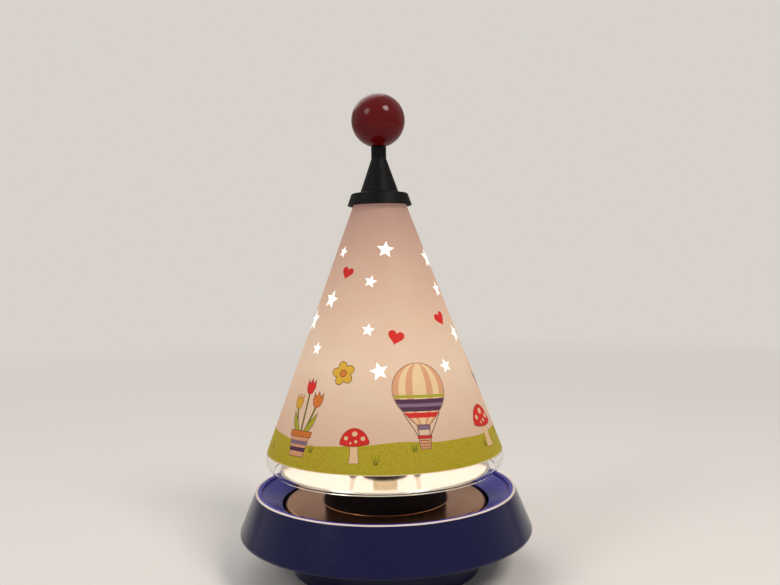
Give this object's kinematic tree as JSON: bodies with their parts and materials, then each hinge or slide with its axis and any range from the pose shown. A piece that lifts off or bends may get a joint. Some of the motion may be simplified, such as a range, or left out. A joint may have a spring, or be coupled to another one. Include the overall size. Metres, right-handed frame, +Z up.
{
  "type": "carousel projector lamp",
  "caption": "Table lamp with a printed cone shade that turns on a needle over a screw bulb, on a mirror plate in a blue ring; red ball on top.",
  "frame": {"origin": "on the table under the middle of the foot", "axes": "+Z up along the needle that the shade turns on; the needle's bracket lies in the XZ plane; the cable inlet is towards +Y"},
  "size_m": [0.18, 0.18, 0.2954],
  "materials": {
    "blue_plastic": "royal-blue moulded plastic, glossy",
    "black_plastic": "black moulded plastic, satin",
    "black_rubber": "soft black rubber",
    "brown_lead": "brown lead insulation",
    "blue_lead": "blue lead insulation",
    "zinc_steel": "bright zinc-plated steel",
    "polished_steel": "polished sheet steel",
    "mirror_sheet": "mirror-bright sheet",
    "brass": "plain brass",
    "nickel": "nickel-plated cap, warm",
    "white_plastic": "off-white moulded plastic",
    "clear_glass": "clear bulb glass",
    "clear_plastic": "clear moulded plastic",
    "shade_print": "translucent shade sheet, printed, lit from inside",
    "red_lacquer": "deep red lacquer, glossy",
    "tungsten": "glowing wire"
  },
  "bodies": {
    "base": {"foot_housing": "blue_plastic", "foot_cover": "black_plastic", "cover_screw_1": "zinc_steel", "cover_screw_2": "zinc_steel", "cover_screw_3": "zinc_steel", "rubber_pad_1": "black_rubber", "rubber_pad_2": "black_rubber", "rubber_pad_3": "black_rubber", "rubber_pad_4": "black_rubber", "cable_inlet": "black_rubber", "terminal_block": "white_plastic", "inner_lead_left": "brown_lead", "inner_lead_right": "blue_lead", "base_ring": "blue_plastic", "ring_well": "blue_plastic", "ring_screw_1": "zinc_steel", "ring_screw_2": "zinc_steel", "ring_screw_3": "zinc_steel", "metal_disc": "polished_steel", "pedestal": "black_plastic", "mirror_plate": "mirror_sheet", "holder_tube": "zinc_steel", "tube_washer": "zinc_steel", "tube_nut": "zinc_steel", "lampholder": "black_plastic", "collar_nut": "black_plastic", "socket_shell": "brass", "contact_tongue": "brass", "bracket_bow": "zinc_steel", "bracket_bush_left": "black_plastic", "bracket_bush_right": "black_plastic", "needle_holder": "brass", "needle": "zinc_steel"},
    "bulb": {"bulb_cap": "nickel", "cap_insulator": "black_plastic", "cap_contact": "nickel", "bulb_glass": "clear_glass", "glass_stem": "clear_glass", "filament": "tungsten"},
    "bearing": {"bearing_cup": "brass"},
    "carousel": {"shade_cone": "shade_print", "clear_rim": "clear_plastic", "turbine_wheel": "white_plastic", "spindle": "zinc_steel", "spindle_nut": "zinc_steel", "finial": "black_plastic", "ball": "red_lacquer"}
  },
  "joints": [
    {"name": "shade_lift", "type": "slide", "parent": "base", "child": "bearing", "axis": [0, 0, 1], "range_m": [0, 0.145]},
    {"name": "carousel_spin", "type": "hinge", "parent": "bearing", "child": "carousel", "pos_m": [0, 0, 0.2043], "axis": [0, 0, 1], "continuous": true},
    {"name": "bulb_out", "type": "slide", "parent": "base", "child": "bulb", "axis": [0, 0, 1], "range_m": [0, 0.025]}
  ]
}
